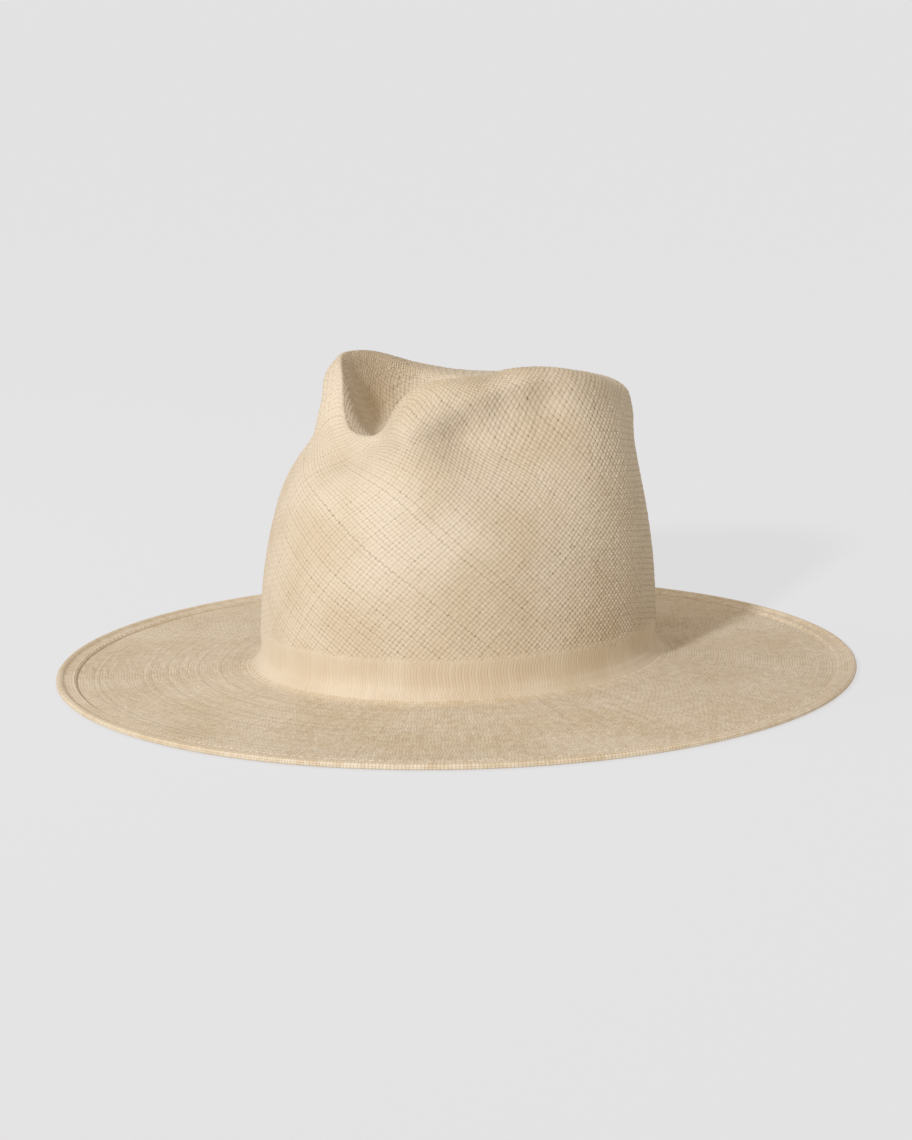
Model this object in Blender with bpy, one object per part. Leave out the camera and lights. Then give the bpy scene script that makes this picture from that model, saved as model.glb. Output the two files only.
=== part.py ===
"""Wide-brimmed Panama hat: one woven straw body with a pinched, teardrop-creased crown,
a wired and folded brim edge, and the sweatband set that a head touches inside it.

Frame: +Z up, the wearer faces -Y, and the brim edge rests on Z = 0. The origin is the
centre of the head opening on that plane. Lengths below are in millimetres, and every
body is scaled to metres when it is built.
"""
import math

import bmesh
import bpy
import numpy as np

MM = 0.001

# --- the head oval and the brim -------------------------------------------------------
HEAD_HALF_LENGTH = 101.0     # outside of the straw at the foot of the crown, front to back
HEAD_HALF_WIDTH = 85.5
BRIM_WIDTH = 95.7            # crown foot to brim edge
STRAW = 0.8                  # thickness of the woven straw
BRIM_RISE = 4.9              # the brim climbs this much from its hem to the crown

# --- the folded brim edge -------------------------------------------------------------
LAP = 9.5                    # width of the straw turned back over the top
LAP_GAP = 0.2                # slit between the two layers of straw
POCKET = 1.2                 # height of the channel for the wire
WIRE_RADIUS = 0.3
WIRE_INSET = 2.05            # wire centre, in from the brim edge
SLEEVE_BORE = 0.4            # radii of the little tube that joins the wire's two ends
SLEEVE_RADIUS = 0.5
SLEEVE_LENGTH = 12.0
WIRE_END_GAP = 1.0

# --- the sweatband set, measured inward from the outside of the straw ------------------
BAND_FACE = 1.9
BAND_THICKNESS = 0.8
BAND_FOOT = 9.4
BAND_TOP = 43.0
SEAM_GAP = 1.0
SEAM_TAPE_FACE = 1.2
SEAM_TAPE_THICKNESS = 0.4
SEAM_TAPE_HALF_WIDTH = 6.0
REED_RADIUS = 0.45
REED_HEIGHT = 8.2
REED_TAPE_BORE = 0.65
REED_TAPE_THICKNESS = 0.35
REED_TAPE_TOP = 14.0
THREAD_RADIUS = 0.15

# --- the bow and the labels -----------------------------------------------------------
BOW_HEIGHT = 25.0
BOW_Y = 94.6
LABEL_THICKNESS = 0.25

# --- mesh density ---------------------------------------------------------------------
AROUND = 72                  # stations round the hat
TURN = 24                    # one turn in station units: each outline has 24 control points

# Angles of the 13 control points of a half outline: 0 is the front, 180 is the back.
# They stand closer at the front, where the crown is pinched.
STATIONS = (0, 9, 19, 31, 45, 60, 75, 90, 106, 123, 141, 160, 180)


def oval(front, back, half_width, height, fullness=2.0):
    """Half outline of a flat oval: fullness 2 is an ellipse, more is squarer."""
    points = []
    for angle in STATIONS:
        s = math.sin(math.radians(angle))
        c = math.cos(math.radians(angle))
        k = (abs(c) ** fullness + abs(s) ** fullness) ** (-1.0 / fullness)
        length = front if angle < 90 else back
        points.append((half_width * s * k, -length * c * k, height))
    return points


def head_oval(outset, height):
    return oval(HEAD_HALF_LENGTH + outset, HEAD_HALF_LENGTH + outset,
                HEAD_HALF_WIDTH + outset, height)


# --- the crown, from its foot up to the floor of the top crease -----------------------
FOOT = head_oval(0.0, 11.0)
BAND_LINE = oval(100.2, 100.0, 84.8, 24.0)
LOW_WALL = oval(98.0, 98.0, 83.0, 48.0, 2.03)
MID_WALL = oval(90.5, 93.5, 79.5, 76.0, 2.08)
# where the two side pinches begin
HIGH_WALL = [
    (0, -78.5, 98), (14, -77.5, 98), (28, -74, 98.5), (42, -66, 99), (53.5, -53.5, 100),
    (61, -38, 101), (67, -18.5, 101), (71, 0, 101), (71, 24, 101), (62.5, 50, 101),
    (47, 72.5, 101), (26, 86.5, 101), (0, 91, 101),
]
# the pinched sides, below the peaks
PINCH = [
    (0, -67, 108), (11, -66, 109.5), (21.5, -63.5, 113), (32.5, -58.3, 117), (41.3, -50.5, 120),
    (48, -38.5, 121.5), (55, -21.5, 122), (61, -1, 122), (63.5, 22, 122), (57, 46, 121.5),
    (42.8, 67.5, 121), (24.5, 81.8, 121), (0, 86.2, 121),
]
# where the wall turns over the top edge
SHOULDER = [
    (0, -63, 114.5), (10.5, -62, 116), (20, -60, 122), (29.5, -55.5, 130.5), (39.5, -49.5, 135.5),
    (48.3, -38, 141), (54.3, -22.5, 143.9), (58, -4, 143.8), (58.8, 17, 140),
    (52.5, 40, 135.4), (40.5, 62, 131.6), (23.6, 78, 131), (0, 83, 131.4),
]
ROLL = [
    (0, -61, 117), (10.3, -60, 118.6), (18.8, -57.8, 125), (27, -53.5, 135.6),
    (36.8, -46.8, 142), (45.2, -37, 144.9), (50.6, -22.5, 146.2), (54, -5, 146.1),
    (54.5, 15, 142.6), (48.7, 37, 138.1), (37.3, 58.5, 134.4), (21.2, 74, 133.6),
    (0, 79, 134),
]
# the crest: a low U-shaped mouth at the front, a peak at each side, closing to the back
CREST = [
    (0, -57, 117.8), (9.3, -56, 119.3), (16.3, -54.3, 126.8), (22.5, -50, 137),
    (30.5, -43.5, 143.4), (37.5, -35.5, 146.2), (41.5, -26, 146.8), (43, -15, 146.3),
    (42, -3.5, 144.2), (37.5, 7, 141.4), (28, 14.5, 139.1), (14, 19, 137.7), (0, 20.5, 137.3),
]
# down the inside of the crease
INNER_WALL = [
    (0, -50, 115.8), (8, -49, 116.8), (14, -47.5, 119.5), (20, -45, 124), (27, -40.5, 130.5),
    (33, -35, 134), (37, -27.5, 136), (39, -18, 136.3), (38.5, -7.5, 135.5), (34, 3, 134),
    (25, 10, 132.5), (13, 14, 131.5), (0, 15.2, 131),
]
CREASE_FLOOR = [
    (0, -43, 113.8), (6, -42.5, 113.8), (11.5, -41, 114), (17, -38.5, 114.8), (22.5, -35, 116),
    (27, -30.5, 117.2), (30.5, -24.5, 118), (32, -17, 118.6), (31, -8.5, 119), (27, -1, 119.4),
    (19.5, 4.5, 119.7), (10, 7.5, 119.9), (0, 8.5, 120),
]
FLOOR_END = [
    (0, -36, 113.6), (2.2, -35.5, 113.6), (4.2, -34.2, 113.7), (6, -32, 113.9), (7.6, -29, 114.2),
    (8.8, -26, 114.6), (9.4, -22.8, 115), (9.2, -19.6, 115.4), (8.4, -16.6, 115.7),
    (6.8, -13.8, 115.9), (4.8, -11.6, 116), (2.5, -10.2, 116.1), (0, -9.8, 116.1),
]

# The hand-blocked top is not level: how far its near side stands above the far side along
# the top, front to back, as a height for each 50 mm off the middle line.
LEAN_AT = (-50.0, -38.0, -22.0, -4.0, 17.0, 42.0, 66.0, 83.0)
LEAN_UP = (-2.0, -2.0, -0.5, 2.6, 5.2, 6.0, 4.6, 2.6)

CROWN_OUTLINES = (FOOT, BAND_LINE, LOW_WALL, MID_WALL, HIGH_WALL, PINCH, SHOULDER, ROLL,
                  CREST, INNER_WALL, CREASE_FLOOR, FLOOR_END)
CROWN_STEPS = (1, 2, 2, 2, 2, 2, 1, 2, 2, 2, 1)


def whole_outline(half):
    """Mirror a half outline (front to back) into a closed one of 24 points."""
    right = [np.array(p, float) for p in half]
    left = [np.array((-p[0], p[1], p[2]), float) for p in half[-2:0:-1]]
    return np.array(right + left)


def along_outline(control, stations):
    """Smooth closed curve through the control points, read at the given stations."""
    count = len(control)
    wave = 2.0 * np.pi * np.arange(count) / count
    weight = (4.0 + 2.0 * np.cos(wave)) / 6.0
    knots = np.real(np.fft.ifft(np.fft.fft(control, axis=0) / weight[:, None], axis=0))
    stations = np.asarray(stations, float) % count
    cell = np.floor(stations).astype(int)
    f = (stations - cell)[:, None]
    blend = ((1 - f) ** 3 / 6, (3 * f ** 3 - 6 * f ** 2 + 4) / 6,
             (-3 * f ** 3 + 3 * f ** 2 + 3 * f + 1) / 6, f ** 3 / 6)
    curve = 0.0
    for offset, part in enumerate(blend):
        curve = curve + part * knots[(cell + offset - 1) % count]
    return curve


ALL_STATIONS = np.arange(AROUND) * TURN / AROUND


def smooth_rows(rows, steps):
    """Extra rows between neighbouring outlines, on a smooth profile through them."""
    gaps = [np.linalg.norm(b - a, axis=1).mean() for a, b in zip(rows[:-1], rows[1:])]
    slopes = []
    for i in range(len(rows)):
        if i == 0:
            slopes.append((rows[1] - rows[0]) / gaps[0])
        elif i == len(rows) - 1:
            slopes.append((rows[-1] - rows[-2]) / gaps[-1])
        else:
            before = (rows[i] - rows[i - 1]) / gaps[i - 1]
            after = (rows[i + 1] - rows[i]) / gaps[i]
            slopes.append((before * gaps[i] + after * gaps[i - 1]) / (gaps[i - 1] + gaps[i]))
    out = []
    for i, gap in enumerate(gaps):
        for k in range(steps[i]):
            t = k / steps[i]
            out.append((2 * t ** 3 - 3 * t ** 2 + 1) * rows[i]
                       + (t ** 3 - 2 * t ** 2 + t) * gap * slopes[i]
                       + (3 * t ** 2 - 2 * t ** 3) * rows[i + 1]
                       + (t ** 3 - t ** 2) * gap * slopes[i + 1])
    out.append(rows[-1])
    return out


def smooth_ramp(value, low, high):
    t = np.clip((value - low) / (high - low), 0.0, 1.0)
    return t * t * (3.0 - 2.0 * t)


def lean_top(row):
    row = row.copy()
    share = smooth_ramp(row[:, 2], 102.0, 136.0) * np.interp(row[:, 1], LEAN_AT, LEAN_UP)
    row[:, 2] += row[:, 0] / 50.0 * share
    return row


def brim_row(outset, height, stations=ALL_STATIONS):
    return along_outline(whole_outline(head_oval(outset, height)), stations)


def brim_top(outset):
    hem = BRIM_WIDTH - LAP - 0.8
    return STRAW + BRIM_RISE * (1.0 - outset / hem)


def wall_row(inset, height, stations=ALL_STATIONS):
    """Outline of the lower crown at a height, moved inward by inset."""
    lower, upper = (FOOT, BAND_LINE) if height < BAND_LINE[0][2] else (BAND_LINE, LOW_WALL)
    low, high = lower[0][2], upper[0][2]
    t = (height - low) / (high - low)
    if height < low:
        t = 0.0
    front = -(lower[0][1] * (1 - t) + upper[0][1] * t) - inset
    back = lower[-1][1] * (1 - t) + upper[-1][1] * t - inset
    width = lower[7][0] * (1 - t) + upper[7][0] * t - inset
    return along_outline(whole_outline(oval(front, back, width, height)), stations)


def inward_offset(rows, distance):
    """Move a stack of closed rows inward, along the surface normals."""
    stack = np.array(rows)
    around = np.roll(stack, -1, axis=1) - np.roll(stack, 1, axis=1)
    along = np.zeros_like(stack)
    for i in range(len(stack)):
        back = stack[max(i - 1, 0)]
        ahead = stack[min(i + 1, len(stack) - 1)]
        before = (stack[i] - back) / max(np.linalg.norm(stack[i] - back, axis=1).mean(), 1e-9)
        after = (ahead - stack[i]) / max(np.linalg.norm(ahead - stack[i], axis=1).mean(), 1e-9)
        along[i] = before + after
    normal = np.cross(around, along)
    normal /= np.linalg.norm(normal, axis=2, keepdims=True)
    return [row for row in stack - distance * normal]


# --- building bodies ------------------------------------------------------------------
def material(name, colour, roughness, metallic=0.0):
    mat = bpy.data.materials.new(name)
    mat.use_nodes = True
    shader = mat.node_tree.nodes["Principled BSDF"]
    shader.inputs["Base Color"].default_value = (*colour, 1.0)
    shader.inputs["Roughness"].default_value = roughness
    shader.inputs["Metallic"].default_value = metallic
    return mat


def add_body(name, points, faces, mat):
    mesh = bpy.data.meshes.new(name)
    mesh.from_pydata([tuple(p * MM) for p in points], [], faces)
    body = bmesh.new()
    body.from_mesh(mesh)
    bmesh.ops.recalc_face_normals(body, faces=body.faces)
    bmesh.ops.triangulate(body, faces=body.faces)
    body.to_mesh(mesh)
    body.free()
    mesh.materials.append(mat)
    bpy.context.scene.collection.objects.link(bpy.data.objects.new(name, mesh))


def loop_body(name, rows, mat, ring=True):
    """A closed profile (rows) swept round the hat: a full ring, or a strip with two ends."""
    count = len(rows)
    length = len(rows[0])
    points = [p for row in rows for p in row]
    faces = []
    for i in range(count):
        j = (i + 1) % count
        for k in range(length if ring else length - 1):
            m = (k + 1) % length
            faces.append((i * length + k, j * length + k, j * length + m, i * length + m))
    if not ring:
        faces.append(tuple(i * length for i in range(count)))
        faces.append(tuple(i * length + length - 1 for i in reversed(range(count))))
    add_body(name, points, faces, mat)


def cord_body(name, path, radius, mat, closed=True, sides=4, bore=None):
    """A round cord along a path; with a bore it is a tube."""
    path = np.array(path, float)
    count = len(path)
    if closed:
        tangent = np.roll(path, -1, axis=0) - np.roll(path, 1, axis=0)
    else:
        tangent = np.gradient(path, axis=0)
    tangent /= np.linalg.norm(tangent, axis=1, keepdims=True)
    up = np.tile((0.0, 0.0, 1.0), (count, 1))
    side = np.cross(tangent, up)
    flat = np.linalg.norm(side, axis=1) < 0.05
    side[flat] = (1.0, 0.0, 0.0)
    side /= np.linalg.norm(side, axis=1, keepdims=True)
    up = np.cross(side, tangent)
    rows = []
    rings = [(radius, 1)] if bore is None else [(radius, 1), (bore, -1)]
    for size, direction in rings:
        for k in range(sides):
            a = direction * 2.0 * math.pi * k / sides
            rows.append(path + size * (math.cos(a) * side + math.sin(a) * up))
    if bore is None:
        loop_body(name, rows, mat, ring=closed)
        return
    points = [p for row in rows for p in row]
    faces = []
    for base, turn in ((0, 1), (sides, -1)):
        for k in range(sides):
            a = (base + k) * count
            b = (base + (k + 1) % sides) * count
            for m in range(count - 1):
                faces.append((a + m, b + m, b + m + 1, a + m + 1))
    for end in (0, count - 1):
        for k in range(sides):
            a = k * count + end
            b = ((k + 1) % sides) * count + end
            c = (sides + (sides - k - 1) % sides) * count + end
            d = (sides + (sides - k) % sides) * count + end
            faces.append((a, b, c, d))
    add_body(name, points, faces, mat)


def strip_rows(faces_out, faces_in):
    """Closed profile of a thin strip: up one face and down the other."""
    return list(faces_out) + list(reversed(faces_in))


# --- the straw body -------------------------------------------------------------------
def build_straw_body(mat):
    crown = [lean_top(along_outline(whole_outline(o), ALL_STATIONS)) for o in CROWN_OUTLINES]
    crown = smooth_rows(crown, CROWN_STEPS)
    edge = BRIM_WIDTH
    hem_inner = edge - LAP - 0.8
    brim = [brim_row(out, brim_top(out)) for out in (60.0, 25.0, 9.0)]
    crease = [brim_row(4.6, 6.0), brim_row(1.6, 7.9)]
    outside = [brim_row(hem_inner, STRAW)] + brim + crease + crown
    inside = inward_offset(outside, STRAW)
    inside[0] = brim_row(hem_inner, 0.0)
    roof = STRAW + POCKET
    lap_low = STRAW + LAP_GAP
    lap_high = lap_low + STRAW
    top = roof + STRAW
    hem = (
        (edge - 2.9, STRAW), (edge - 1.35, STRAW), (edge - 0.8, STRAW + POCKET / 2),
        (edge - 1.35, roof), (edge - 2.75, roof), (edge - 3.6, lap_low),
        (edge - LAP, lap_low), (edge - LAP, lap_high), (edge - 3.9, lap_high),
        (edge - 2.8, top), (edge - 1.4, top), (edge - 0.35, top - 0.5),
        (edge, top / 2), (edge - 0.35, 0.45), (edge - 1.4, 0.0),
    )
    rows = list(reversed(outside)) + [brim_row(out, height) for out, height in hem] + inside
    points = [p for row in rows for p in row]
    faces = []
    for i in range(len(rows) - 1):
        for k in range(AROUND):
            m = (k + 1) % AROUND
            faces.append((i * AROUND + k, (i + 1) * AROUND + k,
                          (i + 1) * AROUND + m, i * AROUND + m))
    for first in (0, (len(rows) - 1) * AROUND):
        centre = len(points)
        points.append(np.mean(points[first:first + AROUND], axis=0))
        for k in range(AROUND):
            faces.append((first + k, first + (k + 1) % AROUND, centre))
    add_body("straw_body", points, faces, mat)


# --- the brim edge: wire, its joining sleeve and the stitching -------------------------
def build_brim_edge(steel, brass, thread):
    height = STRAW + POCKET / 2
    ring = brim_row(BRIM_WIDTH - WIRE_INSET, height)
    back = AROUND // 2
    left, right = ring[back], ring[back + 1]
    middle = (left + right) / 2
    direction = (right - left) / np.linalg.norm(right - left)
    wire = [middle + direction * WIRE_END_GAP / 2]
    wire += [middle + direction * SLEEVE_LENGTH * 0.62]
    wire += [ring[(back + 1 + k) % AROUND] for k in range(AROUND)]
    wire += [middle - direction * SLEEVE_LENGTH * 0.62]
    wire += [middle - direction * WIRE_END_GAP / 2]
    cord_body("brim_wire", wire, WIRE_RADIUS, steel, closed=False, sides=5)
    ends = [middle - direction * SLEEVE_LENGTH / 2, middle + direction * SLEEVE_LENGTH / 2]
    cord_body("wire_sleeve", ends, SLEEVE_RADIUS, brass, closed=False, sides=10,
              bore=SLEEVE_BORE)
    lap_high = STRAW + LAP_GAP + STRAW
    line = brim_row(BRIM_WIDTH - LAP + 1.2, lap_high + 0.12 + THREAD_RADIUS)
    cord_body("brim_stitching", line, THREAD_RADIUS, thread)


# --- the sweatband set ------------------------------------------------------------------
def seam_stations(gap):
    """Stations of a strip that runs right round and leaves a gap at the back."""
    share = gap / 2 / (HEAD_HALF_WIDTH * math.pi / 180 * 20)
    start = TURN / 2 + share
    middle = [s for s in np.arange(1, AROUND) * TURN / AROUND + TURN / 2]
    return np.array([start] + middle + [start + TURN - 2 * share])


def build_sweatband(leather, tape, reed, thread):
    inner = BAND_FACE + BAND_THICKNESS
    heights = (BAND_FOOT, 20.0, 32.0, BAND_TOP)
    around = seam_stations(SEAM_GAP)
    loop_body("sweatband", strip_rows([wall_row(BAND_FACE, h, around) for h in heights],
                                      [wall_row(inner, h, around) for h in heights]),
              leather, ring=False)

    half = SEAM_TAPE_HALF_WIDTH / (HEAD_HALF_WIDTH * math.pi / 180 * 20)
    across = TURN / 2 + np.linspace(-half, half, 5)
    heights = (16.0, 28.0, BAND_TOP - 0.6)
    back = SEAM_TAPE_FACE + SEAM_TAPE_THICKNESS
    loop_body("seam_tape", strip_rows([wall_row(SEAM_TAPE_FACE, h, across) for h in heights],
                                      [wall_row(back, h, across) for h in heights]),
              tape, ring=False)

    depth = inner + 0.12 + THREAD_RADIUS
    steps = 15
    zigzag = []
    for k in range(steps):
        height = 16.0 + (BAND_TOP - 2.0 - 16.0) * k / (steps - 1)
        sideways = 1.6 if k % 2 else -1.6
        station = TURN / 2 + sideways / (HEAD_HALF_WIDTH * math.pi / 180 * 20)
        zigzag.append(wall_row(depth, height, [station])[0])
    cord_body("seam_stitching", zigzag, THREAD_RADIUS, thread, closed=False)

    centre = BAND_FACE + BAND_THICKNESS / 2
    cord_body("sweatband_reed", wall_row(centre, REED_HEIGHT, seam_stations(3.0)),
              REED_RADIUS, reed, closed=False, sides=6)

    profile = []
    for radius, turns in ((REED_TAPE_BORE + REED_TAPE_THICKNESS, 1), (REED_TAPE_BORE, -1)):
        arc = [(-radius, REED_TAPE_TOP)]
        for k in range(4):
            a = math.pi + math.pi * k / 3
            arc.append((radius * math.cos(a), REED_HEIGHT + radius * math.sin(a)))
        arc.append((radius, REED_TAPE_TOP))
        profile += arc if turns > 0 else list(reversed(arc))
    loop_body("reed_tape", [wall_row(centre + x, z) for x, z in profile], tape)

    depth = centre + REED_TAPE_BORE + REED_TAPE_THICKNESS + 0.12 + THREAD_RADIUS
    low = wall_row(depth, 10.6)
    high = wall_row(depth, 11.8)
    path = [low[k] if k % 2 else high[k] for k in range(AROUND)]
    cord_body("sweatband_stitching", path, THREAD_RADIUS, thread)


# --- the bow at the back of the sweatband ------------------------------------------------
def build_bow(ribbon):
    thickness = 0.4
    half_height = 3.0
    count = 24
    outer, inner = [], []
    for k in range(count):
        a = 2.0 * math.pi * k / count
        x = 11.0 * math.cos(a)
        belly = 0.55 + 1.15 * (x / 11.0) ** 2
        y = belly * math.sin(a)
        outer.append((x, y))
        inner.append((x * (1.0 - thickness / 11.0), y - math.copysign(
            min(abs(y) * 0.5, thickness), y)))
    points = []
    for z in (BOW_HEIGHT - half_height, BOW_HEIGHT + half_height):
        points.append([np.array((x, BOW_Y + y, z)) for x, y in outer])
        points.append([np.array((x, BOW_Y + y, z)) for x, y in inner])
    loop_body("bow_loop", [points[0], points[2], points[3], points[1]], ribbon)

    band, hole_y, hole_z, half_x = 0.5, 1.0, half_height + 0.35, 2.0
    rows = []
    for x, grow in ((-half_x, 0.0), (half_x, 0.0), (half_x, band), (-half_x, band)):
        rows.append([np.array((x, BOW_Y + y * (hole_y + grow), BOW_HEIGHT + z * (hole_z + grow)))
                     for y, z in ((-1, -1), (1, -1), (1, 1), (-1, 1))])
    loop_body("bow_knot", rows, ribbon)

    top = BOW_HEIGHT - hole_z - band - 0.3
    outline = ((-2.0, top), (2.0, top), (7.4, top - 9.4), (4.6, top - 11.4), (3.2, top - 9.0),
               (0.0, top - 3.4), (-3.2, top - 9.0), (-4.6, top - 11.4), (-7.4, top - 9.4))
    front = [np.array((x, BOW_Y - 0.2, z)) for x, z in outline]
    back = [np.array((x, BOW_Y - 0.2 + thickness, z)) for x, z in outline]
    faces = [tuple(range(9)), tuple(reversed(range(9, 18)))]
    faces += [(k, (k + 1) % 9, 9 + (k + 1) % 9, 9 + k) for k in range(9)]
    add_body("bow_tails", front + back, faces, ribbon)


# --- the two blank labels ------------------------------------------------------------------
def build_labels(paper, satin):
    tucked = 1.15
    width = 0.42
    across = 9.6 + np.linspace(-width, width, 6)
    levels = ((tucked, 33.0), (tucked, 40.0), (tucked + 0.7, 47.5))
    loop_body("size_label", strip_rows(
        [wall_row(inset, h, across) for inset, h in levels],
        [wall_row(inset + LABEL_THICKNESS, h, across) for inset, h in levels]),
        paper, ring=False)

    across = 15.0 + np.linspace(-width, width, 6)
    hang = BAND_FACE + BAND_THICKNESS + 0.4
    t = LABEL_THICKNESS
    crown = BAND_TOP + 0.5
    outer = ((tucked, 34.0), (tucked, crown), (tucked + 0.3, crown + t), (hang, crown + t),
             (hang + t, crown), (hang + t, 24.0))
    inner = ((tucked + t, 34.0), (tucked + t, crown - 0.1), (tucked + t + 0.15, crown),
             (hang - 0.1, crown), (hang, crown - 0.1), (hang, 24.0))
    loop_body("care_label", strip_rows([wall_row(i, h, across) for i, h in outer],
                                       [wall_row(i, h, across) for i, h in inner]),
              satin, ring=False)


def main():
    for old in list(bpy.data.objects):
        bpy.data.objects.remove(old)
    straw = material("toquilla_straw", (0.78, 0.66, 0.47), 0.62)
    steel = material("hat_wire_steel", (0.55, 0.55, 0.56), 0.35, 1.0)
    brass = material("sleeve_brass", (0.72, 0.58, 0.30), 0.35, 1.0)
    thread = material("sewing_thread", (0.74, 0.64, 0.48), 0.80)
    band = material("sweatband_cotton", (0.70, 0.60, 0.46), 0.85)
    tape = material("binding_tape", (0.80, 0.74, 0.62), 0.85)
    reed = material("reed_plastic", (0.86, 0.85, 0.80), 0.40)
    ribbon = material("bow_ribbon", (0.62, 0.50, 0.36), 0.55)
    paper = material("label_paper", (0.90, 0.88, 0.82), 0.70)
    satin = material("label_satin", (0.88, 0.86, 0.82), 0.35)
    build_straw_body(straw)
    build_brim_edge(steel, brass, thread)
    build_sweatband(band, tape, reed, thread)
    build_bow(ribbon)
    build_labels(paper, satin)


main()
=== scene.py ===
"""Panama hat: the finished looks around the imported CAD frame.

The straw is built as real over-and-under weave relief: a diagonal plain weave on the crown,
a fine ring-and-spoke weave on the brim, a braided band at the crown's foot and a folded,
wired and stitched hem. Inside sit the ribbed sweatband, its tapes, reed, bow and labels.
Lengths below are in millimetres in the row frame, and are scaled to metres when built.
"""
import math

import bpy
import numpy as np
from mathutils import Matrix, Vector


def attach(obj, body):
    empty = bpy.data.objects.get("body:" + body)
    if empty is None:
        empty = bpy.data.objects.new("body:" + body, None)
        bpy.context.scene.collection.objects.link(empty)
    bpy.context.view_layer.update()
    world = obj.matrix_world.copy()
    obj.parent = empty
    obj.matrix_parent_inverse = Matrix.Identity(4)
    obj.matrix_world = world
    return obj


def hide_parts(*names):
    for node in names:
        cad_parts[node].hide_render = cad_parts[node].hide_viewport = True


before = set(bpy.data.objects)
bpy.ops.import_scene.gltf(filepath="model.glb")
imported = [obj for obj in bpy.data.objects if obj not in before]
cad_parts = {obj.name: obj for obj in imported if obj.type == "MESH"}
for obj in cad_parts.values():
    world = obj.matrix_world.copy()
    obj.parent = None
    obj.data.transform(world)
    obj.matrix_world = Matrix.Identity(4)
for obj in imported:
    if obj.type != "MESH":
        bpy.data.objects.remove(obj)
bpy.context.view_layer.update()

MM = 0.001
TURN = 24.0

# --- sizes ------------------------------------------------------------------------------
HEAD_HALF_LENGTH = 101.0
HEAD_HALF_WIDTH = 85.5
BRIM_WIDTH = 95.7
STRAW = 0.8
BRIM_RISE = 4.9
LAP = 9.5
LAP_GAP = 0.2
POCKET = 1.2
HEM_INNER = BRIM_WIDTH - LAP - 0.8
CROWN_PITCH = 1.88        # distance between neighbouring straws on the crown
RING_PITCH = 1.3          # distance between neighbouring rings of the brim weave
WEAVE_CENTRE = 4.33       # station of the crown that the weave's layout is centred on
DENSE = 1440              # stations kept of each outline
# How far the near side stands above the far side along the top, front to back: a height
# for each 50 mm off the middle line.
LEAN_AT = (-50.0, -38.0, -22.0, -4.0, 17.0, 42.0, 66.0, 83.0)
LEAN_UP = (-2.0, -2.0, -0.5, 2.6, 5.2, 6.0, 4.6, 2.6)

STATIONS = (0, 9, 19, 31, 45, 60, 75, 90, 106, 123, 141, 160, 180)


# --- outlines of the hat, shared with the CAD --------------------------------------------
def oval(front, back, half_width, height, fullness=2.0):
    """Half an oval at one height, from the front over the +X side to the back."""
    points = []
    for angle in STATIONS:
        s = math.sin(math.radians(angle))
        c = math.cos(math.radians(angle))
        k = (abs(c) ** fullness + abs(s) ** fullness) ** (-1.0 / fullness)
        length = front if angle < 90 else back
        points.append((half_width * s * k, -length * c * k, height))
    return points


def head_oval(outset, height):
    return oval(HEAD_HALF_LENGTH + outset, HEAD_HALF_LENGTH + outset,
                HEAD_HALF_WIDTH + outset, height)


FOOT = head_oval(0.0, 11.0)
BAND_LINE = oval(100.2, 100.0, 84.8, 24.0)
LOW_WALL = oval(98.0, 98.0, 83.0, 48.0, 2.03)
MID_WALL = oval(90.5, 93.5, 79.5, 76.0, 2.08)
HIGH_WALL = [
    (0, -78.5, 98), (14, -77.5, 98), (28, -74, 98.5), (42, -66, 99), (53.5, -53.5, 100),
    (61, -38, 101), (67, -18.5, 101), (71, 0, 101), (71, 24, 101), (62.5, 50, 101),
    (47, 72.5, 101), (26, 86.5, 101), (0, 91, 101),
]
PINCH = [
    (0, -67, 108), (11, -66, 109.5), (21.5, -63.5, 113), (32.5, -58.3, 117), (41.3, -50.5, 120),
    (48, -38.5, 121.5), (55, -21.5, 122), (61, -1, 122), (63.5, 22, 122), (57, 46, 121.5),
    (42.8, 67.5, 121), (24.5, 81.8, 121), (0, 86.2, 121),
]
SHOULDER = [
    (0, -63, 114.5), (10.5, -62, 116), (20, -60, 122), (29.5, -55.5, 130.5), (39.5, -49.5, 135.5),
    (48.3, -38, 141), (54.3, -22.5, 143.9), (58, -4, 143.8), (58.8, 17, 140),
    (52.5, 40, 135.4), (40.5, 62, 131.6), (23.6, 78, 131), (0, 83, 131.4),
]
ROLL = [
    (0, -61, 117), (10.3, -60, 118.6), (18.8, -57.8, 125), (27, -53.5, 135.6),
    (36.8, -46.8, 142), (45.2, -37, 144.9), (50.6, -22.5, 146.2), (54, -5, 146.1),
    (54.5, 15, 142.6), (48.7, 37, 138.1), (37.3, 58.5, 134.4), (21.2, 74, 133.6),
    (0, 79, 134),
]
CREST = [
    (0, -57, 117.8), (9.3, -56, 119.3), (16.3, -54.3, 126.8), (22.5, -50, 137),
    (30.5, -43.5, 143.4), (37.5, -35.5, 146.2), (41.5, -26, 146.8), (43, -15, 146.3),
    (42, -3.5, 144.2), (37.5, 7, 141.4), (28, 14.5, 139.1), (14, 19, 137.7), (0, 20.5, 137.3),
]
INNER_WALL = [
    (0, -50, 115.8), (8, -49, 116.8), (14, -47.5, 119.5), (20, -45, 124), (27, -40.5, 130.5),
    (33, -35, 134), (37, -27.5, 136), (39, -18, 136.3), (38.5, -7.5, 135.5), (34, 3, 134),
    (25, 10, 132.5), (13, 14, 131.5), (0, 15.2, 131),
]
CREASE_FLOOR = [
    (0, -43, 113.8), (6, -42.5, 113.8), (11.5, -41, 114), (17, -38.5, 114.8), (22.5, -35, 116),
    (27, -30.5, 117.2), (30.5, -24.5, 118), (32, -17, 118.6), (31, -8.5, 119), (27, -1, 119.4),
    (19.5, 4.5, 119.7), (10, 7.5, 119.9), (0, 8.5, 120),
]
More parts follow.
